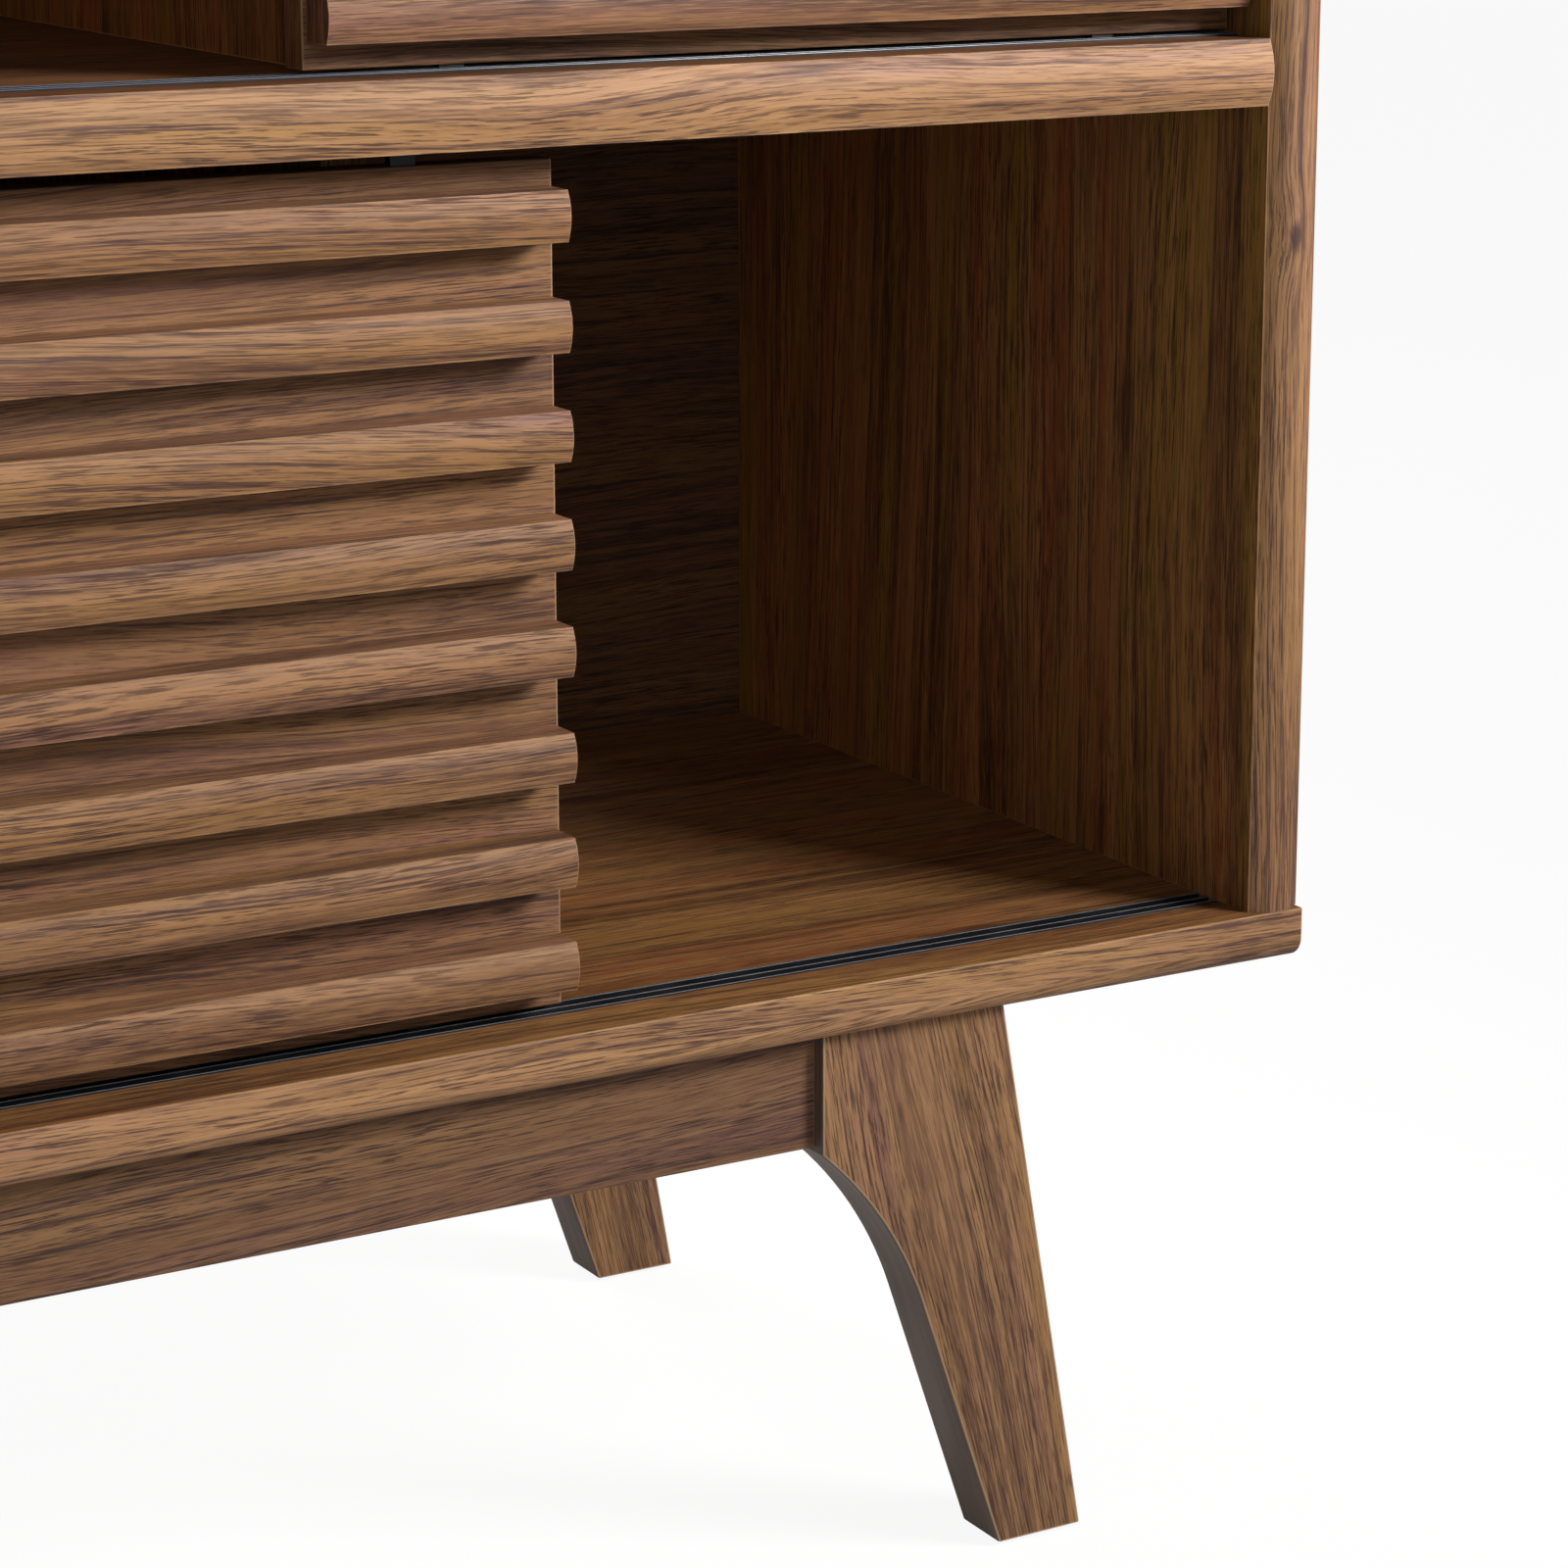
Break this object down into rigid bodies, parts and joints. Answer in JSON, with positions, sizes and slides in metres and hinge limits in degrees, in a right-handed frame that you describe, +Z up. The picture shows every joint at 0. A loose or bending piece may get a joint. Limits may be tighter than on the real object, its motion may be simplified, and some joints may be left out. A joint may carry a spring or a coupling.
{
  "type": "media cabinet",
  "caption": "Tiered walnut-look media cabinet with horizontally slatted sliding doors in plastic tracks, divided compartments, rear cable holes and a splayed-leg base frame.",
  "frame": {"origin": "on the floor under the middle of the cabinet's footprint", "axes": "+Z up, the doors face -Y, +X is the cabinet's right end as seen from the front"},
  "size_m": [0.82, 0.445, 0.983],
  "materials": {
    "carcass_walnut": "satin walnut laminate with fine dark pores, grain along each board",
    "door_walnut": "satin walnut laminate, horizontal grain on panels and slats",
    "inner_walnut": "satin walnut laminate on the inside faces",
    "leg_walnut": "satin walnut laminate faces with plain grey-brown edge band",
    "black_plastic": "semi-gloss extruded or moulded black plastic",
    "zinc_steel": "bright zinc-plated steel",
    "beech": "raw fluted beech dowel"
  },
  "bodies": {
    "cabinet": {"bottom_panel": "carcass_walnut", "top_panel": "carcass_walnut", "left_side_panel": "carcass_walnut", "right_side_panel": "carcass_walnut", "middle_shelf": "carcass_walnut", "lower_divider": "inner_walnut", "upper_divider": "inner_walnut", "lower_back_panel": "inner_walnut", "upper_back_panel": "inner_walnut", "lower_bottom_track": "black_plastic", "lower_top_track": "black_plastic", "upper_bottom_track": "black_plastic", "upper_top_track": "black_plastic", "front_left_leg": "leg_walnut", "front_right_leg": "leg_walnut", "back_left_leg": "leg_walnut", "back_right_leg": "leg_walnut", "front_apron": "leg_walnut", "back_apron": "leg_walnut", "left_stretcher": "leg_walnut", "right_stretcher": "leg_walnut", "frame_dowels": "beech", "frame_brackets": "zinc_steel", "bracket_screws": "zinc_steel", "foot_glides": "black_plastic", "carcass_screws": "zinc_steel", "carcass_dowels": "beech", "cam_bolts": "zinc_steel", "cam_locks": "zinc_steel", "lower_back_screws": "zinc_steel", "upper_back_screws": "zinc_steel"},
    "lower_door": {"lower_door_panel": "door_walnut", "lower_door_slat_1": "door_walnut", "lower_door_slat_2": "door_walnut", "lower_door_slat_3": "door_walnut", "lower_door_slat_4": "door_walnut", "lower_door_slat_5": "door_walnut", "lower_door_slat_6": "door_walnut", "lower_door_slat_7": "door_walnut", "lower_door_slat_8": "door_walnut", "lower_door_slat_screws": "zinc_steel", "lower_door_bottom_glides": "black_plastic", "lower_door_top_guides": "black_plastic"},
    "upper_door": {"upper_door_panel": "door_walnut", "upper_door_slat_1": "door_walnut", "upper_door_slat_2": "door_walnut", "upper_door_slat_3": "door_walnut", "upper_door_slat_4": "door_walnut", "upper_door_slat_5": "door_walnut", "upper_door_slat_6": "door_walnut", "upper_door_slat_7": "door_walnut", "upper_door_slat_8": "door_walnut", "upper_door_slat_screws": "zinc_steel", "upper_door_bottom_glides": "black_plastic", "upper_door_top_guides": "black_plastic"}
  },
  "joints": [
    {"name": "lower_door_slide", "type": "slide", "parent": "cabinet", "child": "lower_door", "axis": [1, 0, 0], "range_m": [-0.0515, 0.308]},
    {"name": "upper_door_slide", "type": "slide", "parent": "cabinet", "child": "upper_door", "axis": [1, 0, 0], "range_m": [-0.3595, 0]}
  ]
}
